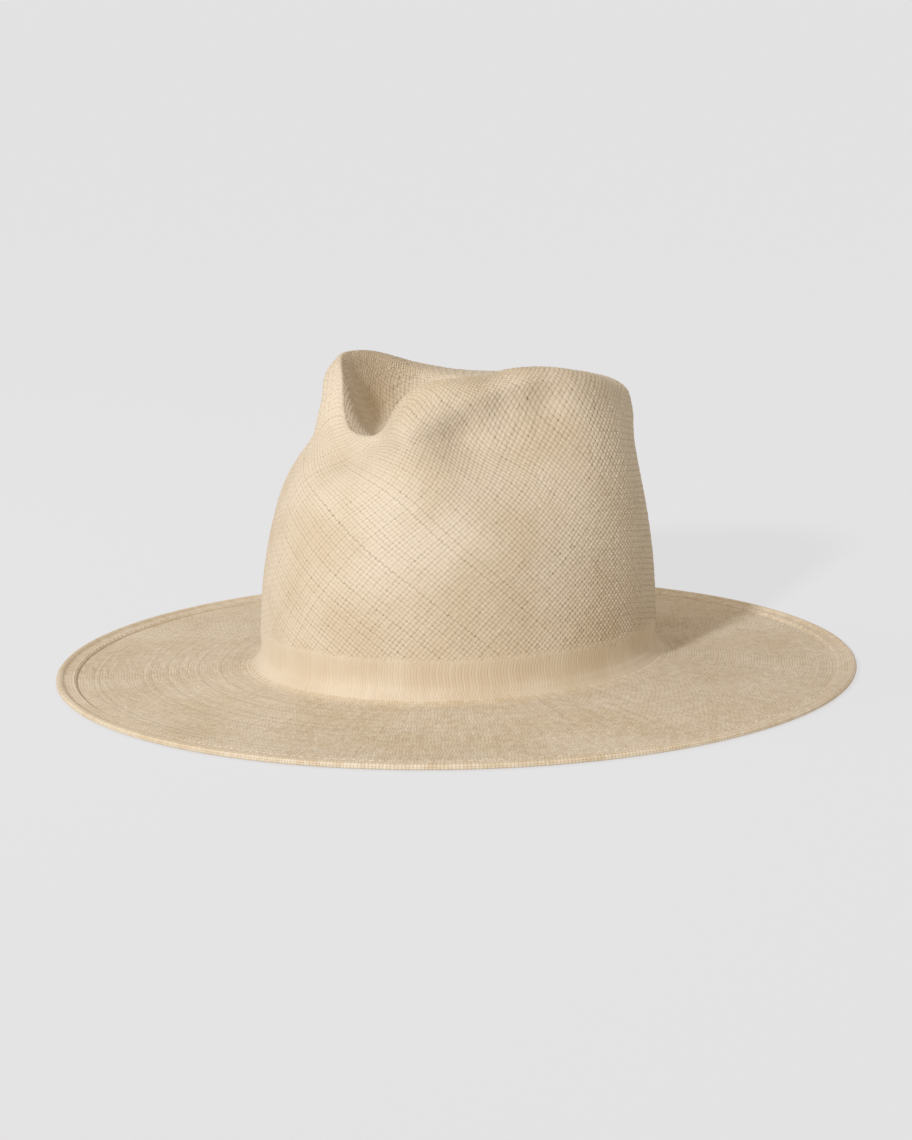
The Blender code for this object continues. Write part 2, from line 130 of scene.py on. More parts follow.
FLOOR_END = [
    (0, -36, 113.6), (2.2, -35.5, 113.6), (4.2, -34.2, 113.7), (6, -32, 113.9), (7.6, -29, 114.2),
    (8.8, -26, 114.6), (9.4, -22.8, 115), (9.2, -19.6, 115.4), (8.4, -16.6, 115.7),
    (6.8, -13.8, 115.9), (4.8, -11.6, 116), (2.5, -10.2, 116.1), (0, -9.8, 116.1),
]
CENTRE = [(0, -22, 114.3)] * 13


def whole_outline(half):
    right = [np.array(p, float) for p in half]
    left = [np.array((-p[0], p[1], p[2]), float) for p in half[-2:0:-1]]
    return np.array(right + left)


def along_outline(control, stations):
    """A closed cubic spline through the control points, at the given stations."""
    count = len(control)
    wave = 2.0 * np.pi * np.arange(count) / count
    weight = (4.0 + 2.0 * np.cos(wave)) / 6.0
    knots = np.real(np.fft.ifft(np.fft.fft(control, axis=0) / weight[:, None], axis=0))
    stations = np.asarray(stations, float) % count
    cell = np.floor(stations).astype(int)
    f = (stations - cell)[:, None]
    blend = ((1 - f) ** 3 / 6, (3 * f ** 3 - 6 * f ** 2 + 4) / 6,
             (-3 * f ** 3 + 3 * f ** 2 + 3 * f + 1) / 6, f ** 3 / 6)
    curve = 0.0
    for offset, part in enumerate(blend):
        curve = curve + part * knots[(cell + offset - 1) % count]
    return curve


def smooth_ramp(value, low_end, high_end):
    t = np.clip((value - low_end) / (high_end - low_end), 0.0, 1.0)
    return t * t * (3.0 - 2.0 * t)


def lean_top(row):
    share = smooth_ramp(row[:, 2], 102.0, 136.0) * np.interp(row[:, 1], LEAN_AT, LEAN_UP)
    row[:, 2] += row[:, 0] / 50.0 * share
    return row


def brim_top(outset):
    return STRAW + BRIM_RISE * (1.0 - np.minimum(outset / HEM_INNER, 1.0))


# Soft local pushes that the hands gave the crown: centre, push and reach, in millimetres.
# The first group is on both sides, the second on one side only.
BOTH_PUSHES = (
    ((46.0, -39.0, 124.0), (-2.6, 2.2, 0.0), 12.0),
    ((33.0, -58.0, 122.0), (1.3, -2.0, 0.0), 8.0),
)
SINGLE_PUSHES = (
    ((35.0, -60.0, 111.0), (1.8, -3.2, 2.0), 11.0),
    ((43.0, -53.0, 113.0), (1.8, -1.5, 1.5), 11.0),
    ((32.5, -59.0, 121.5), (1.2, -3.0, 0.6), 11.0),
    ((39.0, -52.5, 124.0), (1.8, -1.0, 0.1), 11.0),
    ((30.0, -56.0, 129.5), (0.4, -2.3, 1.0), 11.0),
    ((37.5, -51.0, 133.0), (0.9, -1.4, 0.6), 11.0),
    ((42.0, -66.0, 99.0), (0.8, -1.1, 0.8), 11.0),
    ((51.5, -56.0, 100.0), (0.9, -0.7, 0.6), 11.0),
    ((63.5, -30.0, 101.0), (-0.9, 0.3, -0.5), 15.0),
    ((70.0, -6.0, 99.0), (-1.2, 0.2, -0.5), 18.0),
    ((52.0, -36.0, 120.0), (-1.3, 0.9, -0.3), 12.0),
    ((57.0, -20.0, 134.0), (-1.8, 0.3, 0.0), 14.0),
    ((61.0, 0.0, 137.0), (-1.5, 0.2, -0.3), 14.0),
    ((59.0, -17.0, 115.0), (-0.9, 0.3, -0.4), 11.0),
    ((56.0, -18.0, 131.5), (-2.1, 0.6, 0.2), 11.0),
    ((61.0, 2.0, 134.5), (-2.7, 0.4, -0.1), 11.0),
    ((51.0, -32.0, 141.0), (-1.1, 0.7, -0.4), 11.0),
    ((55.0, -19.0, 144.0), (-1.3, 0.6, -0.8), 11.0),
    ((44.0, 73.0, 100.0), (-1.6, -1.9, 0.0), 18.0),
    ((-59.0, -56.0, 89.0), (-1.5, -1.8, 0.0), 16.0),
    ((40.0, 67.0, 125.0), (1.7, 2.1, 0.0), 12.0),
    ((-40.0, -46.0, 143.0), (-1.7, -1.1, 0.0), 10.0),
)


def push_crown(points):
    """Apply the local pushes."""
    mirrored = tuple(((-c[0], c[1], c[2]), (-p[0], p[1], p[2]), r) for c, p, r in BOTH_PUSHES)
    moved = points.copy()
    for centre, push, reach in BOTH_PUSHES + mirrored + SINGLE_PUSHES:
        near = np.abs(points - np.array(centre)).max(axis=1) < 3.0 * reach
        d = np.linalg.norm(points[near] - np.array(centre), axis=1)
        moved[near] += np.exp(-(d / reach) ** 2)[:, None] * np.array(push)
    return moved


def unit(vectors):
    return vectors / np.maximum(np.linalg.norm(vectors, axis=1, keepdims=True), 1e-9)


def arc_length(line):
    """Distance of each point of a line from its first point."""
    return np.concatenate([[0.0], np.cumsum(np.linalg.norm(np.diff(line, axis=0), axis=1))])


def read_round(row, u):
    """A closed row of DENSE points, given as a function of their numbers, at stations u."""
    x = (u / TURN * DENSE) % DENSE
    k = np.floor(x).astype(int) % DENSE
    f = (x - np.floor(x))[:, None]
    return row(k) * (1 - f) + row((k + 1) % DENSE) * f


class Shell:
    """A smooth surface through closed outlines: u is the station, v the outline number."""

    def __init__(self, outlines):
        u = np.arange(DENSE) * TURN / DENSE
        self.rows = np.array([lean_top(along_outline(whole_outline(half), u))
                              for half in outlines])
        gaps = np.linalg.norm(np.diff(self.rows, axis=0), axis=2).mean(axis=1)
        self.gaps = np.maximum(gaps, 1e-6)
        gap = self.gaps[:, None, None]
        rise = np.diff(self.rows, axis=0) / gap
        middle = (rise[:-1] * gap[1:] + rise[1:] * gap[:-1]) / (gap[:-1] + gap[1:])
        self.slopes = np.concatenate([rise[:1], middle, rise[-1:]])

    def at(self, u, v):
        """Points of the surface at stations u and outline numbers v."""
        v = np.clip(np.full(len(u), v, float), 0.0, len(self.rows) - 1.0)
        i = np.minimum(np.floor(v).astype(int), len(self.rows) - 2)
        t = (v - i)[:, None]
        gap = self.gaps[i][:, None]
        shares = ((2 * t ** 3 - 3 * t ** 2 + 1, self.rows, 0),
                  ((t ** 3 - 2 * t ** 2 + t) * gap, self.slopes, 0),
                  (3 * t ** 2 - 2 * t ** 3, self.rows, 1),
                  ((t ** 3 - t ** 2) * gap, self.slopes, 1))
        return push_crown(sum(share * read_round(lambda k: table[i + step, k], u)
                              for share, table, step in shares))

    def normal(self, u, v):
        du, dv = 0.03, 0.02
        top = len(self.rows) - 1.0
        around = self.at(u + du, v) - self.at(u - du, v)
        along = self.at(u, np.minimum(v + dv, top)) - self.at(u, np.maximum(v - dv, 0.0))
        return unit(np.cross(around, along))

    def arc(self, v):
        """Mean distance along the profile from v = 0."""
        fine = np.linspace(0.0, len(self.rows) - 1.0, 400)
        u = np.linspace(0.0, TURN, 48, endpoint=False)
        line = [self.at(u, x) for x in fine]
        step = [np.linalg.norm(b - a, axis=1).mean() for a, b in zip(line[:-1], line[1:])]
        return np.interp(v, fine, np.concatenate([[0.0], np.cumsum(step)]))


CROWN_OUTLINES = [head_oval(9.0, brim_top(9.0)), head_oval(4.6, 6.0), head_oval(1.6, 7.9),
                  FOOT, BAND_LINE, LOW_WALL, MID_WALL, HIGH_WALL, PINCH, SHOULDER, ROLL,
                  CREST, INNER_WALL, CREASE_FLOOR, FLOOR_END, CENTRE]
V_FOOT, V_BAND, V_JOIN = 3.0, 4.0, 11.55      # foot, top of the braid, where wall meets top
crown = Shell(CROWN_OUTLINES)


# --- mesh building --------------------------------------------------------------------
def vertex_normals(points, quads):
    """Mean face normal at each vertex, weighted by area."""
    d1 = points[quads[:, 2]] - points[quads[:, 0]]
    d2 = points[quads[:, 3]] - points[quads[:, 1]]
    face = np.cross(d1, d2)
    total = np.zeros_like(points)
    for k in range(4):
        for axis in range(3):
            total[:, axis] += np.bincount(quads[:, k], face[:, axis], len(points))
    return unit(total)


def weave_row(a, b, count):
    """Weave coordinates of a row of vertices: a and b are one number or one for each."""
    return np.stack([np.full(count, a), np.full(count, b), np.zeros(count)], axis=1)


def add_piece(name, parts, mat, node="straw_body", normals=None):
    """One shown piece from points in millimetres, quads and weave coordinates."""
    points, quads, weave = parts
    mesh = bpy.data.meshes.new(name)
    points = np.asarray(points, np.float32) * MM
    quads = np.asarray(quads, np.int32)
    mesh.vertices.add(len(points))
    mesh.vertices.foreach_set("co", points.ravel())
    mesh.loops.add(quads.size)
    mesh.loops.foreach_set("vertex_index", quads.ravel())
    mesh.polygons.add(len(quads))
    mesh.polygons.foreach_set("loop_start", np.arange(len(quads), dtype=np.int32) * 4)
    mesh.polygons.foreach_set("use_smooth", np.ones(len(quads), bool))
    layer = mesh.attributes.new("weave", "FLOAT_VECTOR", "POINT")
    layer.data.foreach_set("vector", np.asarray(weave, np.float32).ravel())
    mesh.update(calc_edges=True)
    mesh.validate()
    if normals is not None:
        mesh.normals_split_custom_set_from_vertices(normals.astype(np.float32))
    mesh.materials.append(mat)
    obj = bpy.data.objects.new(name, mesh)
    bpy.context.scene.collection.objects.link(obj)
    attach(obj, "root")
    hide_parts(node)
    return obj


def grid_quads(rows, columns, closed):
    """Quads of a rows x columns vertex grid, the columns running round the hat."""
    i = np.arange(rows - 1)[:, None]
    k = np.arange(columns if closed else columns - 1)[None, :]
    m = (k + 1) % columns
    return np.stack([i * columns + k, i * columns + m, (i + 1) * columns + m,
                     (i + 1) * columns + k], axis=-1).reshape(-1, 4)


def round_mesh(rows):
    """One mesh from rows that run round the hat, each its points and weave coordinates."""
    points, weave = (np.concatenate(part) for part in zip(*rows))
    return points, grid_quads(len(rows), len(rows[0][0]), True), weave


def used_only(points, quads, *extra):
    """Drop the vertices that no quad uses."""
    used = np.zeros(len(points), bool)
    used[quads.ravel()] = True
    number = np.cumsum(used) - 1
    return (points[used], number[quads]) + tuple(e[used] for e in extra)


def wander(a, b, seed, size, reach):
    """A smooth random field: a few sine waves of about the given reach."""
    r = np.random.default_rng(seed)
    out = np.zeros_like(a)
    for _ in range(7):
        angle = r.uniform(0.0, 2.0 * math.pi)
        length = reach * r.uniform(0.6, 1.8)
        phase = r.uniform(0.0, 2.0 * math.pi)
        out += np.sin((a * math.cos(angle) + b * math.sin(angle)) * 2.0 * math.pi / length
                      + phase)
    return out * size / 2.6


# --- plain weave relief -----------------------------------------------------------------
# Heights of one crossing, in parts of the relief: the straw on top is a small pillow,
# round across, and dives at its two ends.
TOP_MIDDLE = 1.0
TOP_SIDE = 0.42
TOP_END = -0.30
TOP_CORNER = -0.80
EDGE = 0.40               # where the outer vertices of a crossing sit, in parts of the pitch


def weave_lines(reach, seed, jitter):
    """Vertex lines of one family of straws: three to a straw, each straw a little uneven.

    Gives their places, even places, sides (-1, 0, 1) and straw numbers."""
    r = np.random.default_rng(seed)
    straws = np.arange(-reach, reach + 1)[:, None]
    shift = r.normal(0.0, jitter, straws.shape)
    width = np.clip(1.0 + r.normal(0.0, 0.06, straws.shape), 0.85, 1.12)
    offsets = np.array([-EDGE, 0.0, EDGE])
    place = straws + shift + offsets * width
    side = np.tile(np.array([-1, 0, 1]), (len(straws), 1))
    return [x.ravel() for x in (place, straws + offsets, side, np.repeat(straws, 3, axis=1))]


def crossing_height(la, lb, parity):
    """Height of a vertex from its place across and along the straw that is on top."""
    across = np.where(parity == 0, la, lb)
    along = np.where(parity == 0, lb, la)
    side = across != 0
    end = along != 0
    return np.where(side & end, TOP_CORNER,
                    np.where(side, TOP_SIDE, np.where(end, TOP_END, TOP_MIDDLE)))


def woven_patch(reach, plane_to_uv, inside, seed, jitter, sink):
    """A patch of diagonal plain weave, laid out in a flat plane and carried to the crown.

    plane_to_uv maps lattice coordinates to the crown's u, v. inside says which crossings
    belong to the patch. sink lowers its rim, in millimetres. Gives the mesh and its stations.
    """
    families = zip(weave_lines(reach, seed, jitter), weave_lines(reach, seed + 1, jitter))
    place, even, side, straw = (np.meshgrid(a, b, indexing="ij") for a, b in families)
    rows, columns = place[0].shape
    packed = np.stack([x.ravel() for pair in (place, even, side, straw) for x in pair], axis=1)
    keep = inside(*plane_to_uv(packed[:, 6], packed[:, 7]))
    quads = np.roll(grid_quads(rows, columns, False)[:, ::-1], 1, axis=1)
    packed, quads = used_only(packed, quads[keep[quads].all(axis=1)])
    a, b, even_a, even_b, side_a, side_b, straw_a, straw_b = packed.T
    u, v = plane_to_uv(a, b)
    height = crossing_height(side_a, side_b, np.mod(straw_a + straw_b, 2))
    corner = height <= TOP_CORNER + 1e-6
    r = np.random.default_rng(seed + 2)
    table = 65536                  # crossings draw their unevenness from a table of this size
    crossing = (straw_a.astype(np.int64) * 7919 + straw_b.astype(np.int64) * 104729) % table
    height = height + r.normal(0.0, 0.16, table)[crossing]
    deep = r.random(table)[crossing] > 0.9
    height = np.where(corner & deep, height - 0.8, height)
    normal = crown.normal(u, v)
    points = crown.at(u, v) + normal * (height * wall_relief(u, v))[:, None]
    points -= normal * sink(u, v)[:, None]
    return (points, quads, np.stack([even_a, even_b, np.zeros_like(a)], axis=1)), u


# Flat layout of the crown wall: a slice of a ring, as the wall would lie if it were cut
# at the back left and unrolled. Its middle is at WEAVE_CENTRE.
UNROLL = 0.20
wall_profile_v = np.linspace(2.6, 11.9, 300)
wall_profile_s = crown.arc(wall_profile_v)
wall_foot_s = crown.arc(V_FOOT)
round_lines = np.concatenate([crown.rows, crown.rows[:, :1]], axis=1)
foot_arc = arc_length(round_lines[5])
FOOT_ROUND = foot_arc[-1]
station_axis = np.linspace(0.0, TURN, len(foot_arc))
RING_RADIUS = FOOT_ROUND / (2.0 * math.pi) / UNROLL
centre_arc = np.interp(WEAVE_CENTRE, station_axis, foot_arc)
row_station = np.array([arc_length(line)[-1] / TURN for line in round_lines])


def arc_to_station(arc):
    turns = np.floor(arc / FOOT_ROUND)
    return np.interp(arc - turns * FOOT_ROUND, foot_arc, station_axis) + turns * TURN


WALL_TILT = math.radians(5.0)      # the weave stands 5 degrees off the 45-degree diagonal
first_dir = np.array([math.cos(WALL_TILT + math.pi / 4), math.sin(WALL_TILT + math.pi / 4)])
second_dir = np.array([math.cos(WALL_TILT - math.pi / 4), math.sin(WALL_TILT - math.pi / 4)])


def strayed(place, a, b, seed):
    """The place of a straw with its slow wander over the crown, in three reaches."""
    return (place + wander(a, b, seed, 0.10, 26.0) + wander(a, b, seed + 10, 0.04, 9.0)
            + wander(a, b, seed + 1, 0.5, 120.0))


def wall_plane_to_uv(a, b):
    """Straws of family a run along first_dir, those of family b along second_dir."""
    wa, wb = strayed(a, a, b, 5), strayed(b, a, b, 7)
    x, y = ((wb * first_dir[axis] + wa * second_dir[axis]) * CROWN_PITCH for axis in (0, 1))
    angle = np.arctan2(x, RING_RADIUS - y)
    arc = angle / UNROLL * (FOOT_ROUND / (2.0 * math.pi)) + centre_arc
    v = np.interp(RING_RADIUS - np.hypot(x, RING_RADIUS - y) + wall_foot_s, wall_profile_s,
                  wall_profile_v)
    return arc_to_station(arc), v


def wall_inside(u, v):
    half = TURN / 2 + 1.6 / np.interp(v, np.arange(len(row_station)), row_station)
    return (np.abs(u - WEAVE_CENTRE) <= half) & (v > V_BAND - 0.12) & (v < V_JOIN)


def wall_relief(u, v):
    turn = (u - WEAVE_CENTRE + TURN / 2) % TURN - TURN / 2
    return 0.22 + 0.10 * smooth_ramp(turn, -4.0, -1.5) + 0.08 * smooth_ramp(turn, -1.0, 2.5)


def wall_sink(u, v):
    return (0.3 * smooth_ramp(u - WEAVE_CENTRE, 11.8, 12.0)
            + 0.35 * smooth_ramp(v, V_JOIN - 0.14, V_JOIN))


wall, wall_u = woven_patch(260, wall_plane_to_uv, wall_inside, 11, 0.08, wall_sink)

# Flat layout of the crown's top: a disc around the floor of the crease.
top_profile_v = np.linspace(11.3, 15.0, 200)
top_profile_s = crown.arc(top_profile_v)
top_end_s = crown.arc(top_profile_v[-1])


def top_plane_to_uv(a, b):
    x = (a + b) * math.sqrt(0.5) * CROWN_PITCH
    y = (b - a) * math.sqrt(0.5) * CROWN_PITCH
    radius = np.hypot(x, y)
    angle = np.arctan2(y, x)
    v = np.interp(top_end_s - radius, top_profile_s, top_profile_v)
    return (angle / (2.0 * math.pi) * TURN) % TURN, v


def top_inside(u, v):
    return v > V_JOIN - 0.22


def top_sink(u, v):
    return 0.30 * (1.0 - smooth_ramp(v, V_JOIN - 0.22, V_JOIN - 0.04))


top, _ = woven_patch(40, top_plane_to_uv, top_inside, 31, 0.05, top_sink)


# --- materials ----------------------------------------------------------------------------
class Nodes:
    """Short hand for building a material's node tree."""

    def __init__(self, name):
        self.mat = bpy.data.materials.new(name)
        self.mat.use_nodes = True
        self.tree = self.mat.node_tree

    def feed(self, node, values):
        for key, value in values.items():
            if isinstance(value, bpy.types.NodeSocket):
                self.tree.links.new(value, node.inputs[key])
            else:
                node.inputs[key].default_value = value

    def surface(self, values):
        """Set or link the shader's inputs and give the material."""
        self.feed(self.tree.nodes["Principled BSDF"], values)
        return self.mat

    def add(self, kind, values, output=0, **settings):
        node = self.tree.nodes.new("ShaderNode" + kind)
        for key, value in settings.items():
            setattr(node, key, value)
        self.feed(node, values)
        return node.outputs[output]

    def math(self, operation, a, b=0.0):
        return self.add("Math", {0: a, 1: b}, operation=operation)

    def times(self, a, b):
        return self.math("MULTIPLY", a, b)

    def plus(self, a, b):
        return self.math("ADD", a, b)

    def minus(self, a, b):
        return self.math("SUBTRACT", a, b)

    def ramp(self, value, low_end, high_end, out_low=0.0, out_high=1.0):
        return self.add("MapRange", {"Value": value, "From Min": low_end, "From Max": high_end,
                                     "To Min": out_low, "To Max": out_high},
                        interpolation_type="SMOOTHSTEP")

    def mix(self, share, a, b, kind="MIX"):
        return self.add("Mix", {"Factor": share, 6: a, 7: b}, 2, data_type="RGBA",
                        blend_type=kind)

    def noise(self, vector, scale, detail=3.0, roughness=0.55):
        return self.add("TexNoise", {"Vector": vector, "Scale": scale, "Detail": detail,
                                     "Roughness": roughness}, "Fac")

    def white(self, vector):
        return self.add("TexWhiteNoise", {"Vector": vector}, "Value", noise_dimensions="3D")

    def vector(self, x, y=0.0, z=0.0):
        return self.add("CombineXYZ", {0: x, 1: y, 2: z})

    def weave(self):
        """The two weave coordinates of the piece."""
        stored = self.add("Attribute", {}, "Vector", attribute_name="weave")
        return (self.add("SeparateXYZ", {0: stored}, axis) for axis in (0, 1))

    def place(self):
        return self.add("TexCoord", {}, "Object")

    def bump(self, height, strength, distance):
        return self.add("Bump", {"Strength": strength, "Distance": distance, "Height": height})


def colour(r, g, b):
    """A colour from its display values, 0 to 255."""
    def linear(c):
        c = c / 255.0
        return c / 12.92 if c <= 0.04045 else ((c + 0.055) / 1.055) ** 2.4
    return (linear(r), linear(g), linear(b), 1.0)


def straw_material(name, tones, pit_shade_share=0.35, tint=0.4, shade=0.32, mottle=0.0):
    """Woven straw: each straw has its own tint and fine fibres; the straws' edges and the pits at
    the corners get painted shade.
    """
    pale, tan, pink, painted_pit_shade = (colour(*tone) for tone in tones)
    n = Nodes(name)
    a, b = n.weave()
    ia = n.math("FLOOR", n.plus(a, 0.5))
    ib = n.math("FLOOR", n.plus(b, 0.5))
    fa, fb = n.minus(a, ia), n.minus(b, ib)
    parity = n.math("FLOORED_MODULO", n.plus(ia, ib), 2.0)
    same = n.minus(1.0, parity)

    def on_top(even, odd):
        return n.plus(n.times(even, same), n.times(odd, parity))

    straw_id = on_top(ia, n.plus(ib, 4000.0))
    across, along = on_top(fa, fb), on_top(b, a)
    one_straw = n.white(n.vector(straw_id, 3.0, 7.0))
    stretch = n.noise(n.vector(n.times(along, 0.045), straw_id), 1.0, 2.0)
    fibre = n.noise(n.vector(n.times(across, 14.0), n.times(along, 0.9), straw_id), 1.0, 3.0, 0.6)
    patch = n.noise(n.place(), 22.0, 3.0)
    fleck = n.noise(n.place(), 120.0, 4.0)
    base = n.mix(n.ramp(patch, 0.35, 0.68), pale, tan)
    shift = n.times(n.minus(n.plus(n.times(one_straw, 0.6), stretch), 0.80), tint)
    base = n.mix(n.ramp(shift, 0.05, 0.45), base, pink)
    base = n.mix(n.ramp(shift, -0.05, -0.5, 0.0, 0.5), base, colour(243, 234, 209))
    base = n.mix(n.ramp(fleck, 0.62, 0.80, 0.0, 0.25), base, pink)
    if mottle:
        group = n.noise(n.vector(n.times(a, 0.30), n.times(b, 0.42), 2.0), 1.0, 2.0, 0.6)
        base = n.mix(n.ramp(group, 0.46, 0.62, 0.0, mottle), base, tan, "MULTIPLY")
        base = n.mix(n.ramp(group, 0.46, 0.34, 0.0, mottle), base, colour(240, 230, 206))
    # painted shade: the straws' edges are darkened towards the pit colour, where they dip under
    # their neighbours
    edge = n.ramp(n.math("ABSOLUTE", across), 0.30, 0.48)
    base = n.mix(n.times(edge, shade), base, painted_pit_shade, "MULTIPLY")
    # painted shade in the pits at the corners of the crossings: every corner gets some, and a
    # random share of them more
    corner = n.times(*(n.ramp(n.math("ABSOLUTE", f), 0.36, 0.46) for f in (fa, fb)))
    corner_id = n.vector(n.math("FLOOR", a), n.math("FLOOR", b), 11.0)
    lottery = n.ramp(n.white(corner_id), 1.0 - pit_shade_share, 1.0)
    base = n.mix(n.times(corner, n.plus(n.times(lottery, 0.70), 0.25)), base, painted_pit_shade)
    base = n.mix(n.ramp(fibre, 0.3, 0.75, 0.0, 0.16), base, tan, "MULTIPLY")
    height = n.plus(n.times(fibre, 0.5), n.times(edge, -0.6))
    return n.surface({"Base Color": base, "Roughness": n.ramp(fibre, 0.2, 0.8, 0.50, 0.68),
                      "Specular IOR Level": 0.35, "Sheen Weight": 0.12, "Sheen Roughness": 0.5,
                      "Normal": n.bump(height, 0.35, 0.00012)})


# the last tone of each straw material is the colour of the painted shade in the pits and along
# the straws' edges
crown_mat = straw_material("straw_crown", ((218, 202, 175), (207, 188, 157), (201, 170, 138),
                                           (120, 88, 58)))
brim_mat = straw_material("straw_brim", ((225, 209, 181), (215, 196, 163), (210, 180, 148),
                                         (110, 80, 52)), 0.25, tint=0.5, shade=0.5, mottle=0.24)


# --- the crown pieces ----------------------------------------------------------------------
# the wall in three pieces, which share the normals of the whole
wall_points, wall_quads, wall_weave = wall
wall_normals = vertex_normals(wall_points, wall_quads)
turn_key = (wall_u - WEAVE_CENTRE)[wall_quads].mean(axis=1)
for number, (first, last) in enumerate(((-20, -4), (-4, 4), (4, 20))):
    chosen = wall_quads[(turn_key >= first) & (turn_key < last)]
    p, q, w, m = used_only(wall_points, chosen, wall_weave, wall_normals)
    add_piece(f"crown_weave_{number + 1}", (p, q, w), crown_mat, normals=m)
add_piece("crown_crease_weave", top, crown_mat)


# --- the braided band at the foot of the crown ------------------------------------------------
def foot_band():
    """A tight braid that closes the crown weave: short upright strokes in two rows."""
    strokes = 400
    columns = 4 * strokes
    u = np.arange(columns) * TURN / columns
    rows = []
    for v in np.linspace(1.5, V_BAND + 0.16, 48):
        t = (v - 1.9) / (V_BAND + 0.14 - 1.9)
        phase = u / TURN * strokes
        lean = 1.5 * (0.5 - abs(((t * 2.0) % 1.0) - 0.5))
        stroke = np.cos(2.0 * np.pi * (phase + lean)) + 0.35 * np.cos(
            2.0 * np.pi * (phase * 0.37 + 5.0 * t))
        fade = smooth_ramp(t, -0.05, 0.25) * (1.0 - smooth_ramp(t, 0.86, 0.98))
        height = 0.06 * stroke * fade - 0.12 * math.exp(-((t - 0.52) / 0.06) ** 2) + 0.04
        height -= 0.45 * (1.0 - smooth_ramp(t, -0.22, 0.0)) + 0.60 * smooth_ramp(t, 0.93, 1.0)
        rows.append((crown.at(u, v) + crown.normal(u, v) * height[:, None],
                     weave_row(phase + lean, 0.25, columns)))
    return round_mesh(rows)


add_piece("crown_foot_band", foot_band(), crown_mat)


# --- the brim -------------------------------------------------------------------------------
def brim_ovals():
    """The foot's oval and its growth for each millimetre of outset."""
    u = np.linspace(0.0, TURN, DENSE + 1)[:-1]
    foot, wide = (along_outline(whole_outline(head_oval(outset, 0.0)), u) for outset in (0, 50))
    return foot, (wide - foot) / 50.0


BRIM_FOOT, BRIM_GROWTH = brim_ovals()


def brim_at(u, outset, height):
    """Points at stations u, an outset from the crown's foot and a height."""
    points = (read_round(lambda k: BRIM_FOOT[k], u)
              + read_round(lambda k: BRIM_GROWTH[k], u) * np.reshape(outset, (-1, 1)))
    points[:, 2] = height
    return points


def brim_point(u, outset, height):
    """Brim points, which follow the crown's own surface where the brim curves up into it."""
    points = brim_at(u, outset, height)
    near = outset < 9.0
    v = np.interp(-outset[near], (-9.0, -4.6, -1.6, 0.0), (0.0, 1.0, 2.0, 3.0))
    lift = height[near] - brim_top(outset[near])
    points[near] = crown.at(u[near], v) + crown.normal(u[near], v) * lift[:, None]
    return points


def ring_weave(outset_low, outset_high, spokes, relief, seed, under=False):
    """Ring-and-spoke plain weave between two outsets, two vertices to a crossing each way."""
    rings = round((outset_high - outset_low) / RING_PITCH)
    J, K = np.meshgrid(np.arange(2 * rings + 1), np.arange(2 * spokes), indexing="ij")
    ring, spoke = J / 2.0, K / 2.0
    r = np.random.default_rng(seed)
    ring_shift = r.normal(0.0, 0.10, rings + 2)[(J + 1) // 2] * (J > 0) * (J < 2 * rings)
    spoke_shift = r.normal(0.0, 0.07, spokes)[(K // 2) % spokes]
    outset = outset_low + (ring + ring_shift) * ((outset_high - outset_low) / rings)
    u = (spoke + spoke_shift) * TURN / spokes
    u = u + 0.010 * np.sin(outset * 0.35 + u * 3.1) + 0.006 * np.sin(outset * 1.1 - u * 5.0)
    on_ring, on_spoke = (J % 2) == 1, (K % 2) == 1
    parity = ((J // 2) + (K // 2)) % 2
    crossing = r.normal(0.0, 0.18, (rings + 1, spokes))[J // 2, (K // 2) % spokes]
    height = np.where(on_ring & on_spoke, 1.0 + crossing,
                      np.where(on_ring | on_spoke, 0.0, -0.8))
    for here, there, high_parity in ((on_ring, on_spoke, 0), (on_spoke, on_ring, 1)):
        height = height + np.where(here & ~there, np.where(parity == high_parity, 0.25, -0.15),
                                   0.0)
    fade = np.minimum(smooth_ramp(J, 0, 1), smooth_ramp(2 * rings - J, 0, 1))
    u, outset, height = u.ravel(), outset.ravel(), (height * relief * fade).ravel()
    weave = np.stack([ring.ravel() - 0.5 + 300.0 * seed, spoke.ravel() - 0.5,
                      np.zeros(ring.size)], axis=1)
    quads = grid_quads(2 * rings + 1, 2 * spokes, True)
    if under:
        return brim_point(u, outset, brim_top(outset) - STRAW - height), quads, weave
    # near the crown the braid covers the weave, which sinks and loses its relief there
    grow = smooth_ramp(outset, 3.0, 8.0)
    around = u * FOOT_ROUND / TURN * (1.0 + outset / 93.0)
    height = (brim_top(outset) + height * grow - 0.45 * (1.0 - smooth_ramp(outset, 1.4, 3.6))
              + grow * (wander(outset, around, 71, 0.055, 5.0)
                        + wander(outset, around * 0.6, 72, 0.06, 11.0)))
    return brim_point(u, outset, height), quads[:, ::-1], weave


BRIM_ZONES = ((1.2, 34.0, 480), (34.0, 60.0, 600), (60.0, 88.0, 720))   # outsets and spokes
for number, (inner, outer, spokes) in enumerate(BRIM_ZONES):
    add_piece(f"brim_top_{number + 1}", ring_weave(inner, outer, spokes, 0.40, 50 + number),
              brim_mat)
for number, (inner, outer, spokes) in enumerate(BRIM_ZONES):
    add_piece(f"brim_under_{number + 1}",
              ring_weave(inner, outer, spokes // 2, 0.10, 60 + number, under=True), brim_mat)


# --- the folded hem -----------------------------------------------------------------------
LAP_HIGH = STRAW + LAP_GAP + STRAW


